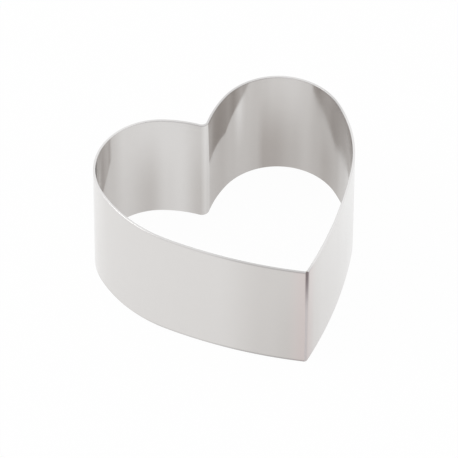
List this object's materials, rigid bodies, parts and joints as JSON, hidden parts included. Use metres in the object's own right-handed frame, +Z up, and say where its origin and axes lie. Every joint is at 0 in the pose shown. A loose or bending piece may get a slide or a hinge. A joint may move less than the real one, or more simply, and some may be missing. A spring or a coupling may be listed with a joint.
{
  "type": "heart cake ring",
  "caption": "Open heart-shaped baking ring bent from a stainless steel strip and closed by a flush butt weld, for shaping cakes, mousses and dough.",
  "frame": {"origin": "middle of the heart's box, on the plane of the lower rim", "axes": "+X across the heart from the left lobe to the right lobe, +Y from the tip to the cleft, +Z up along the band's height"},
  "size_m": [0.09, 0.0862, 0.045],
  "materials": {
    "steel": "bright rolled stainless steel with a soft mirror sheen",
    "weld": "weld metal ground flush and heat tinted outside, left as a low bead inside"
  },
  "bodies": {
    "root": {"heart_band": "steel", "seam_weld": "weld"}
  },
  "joints": []
}
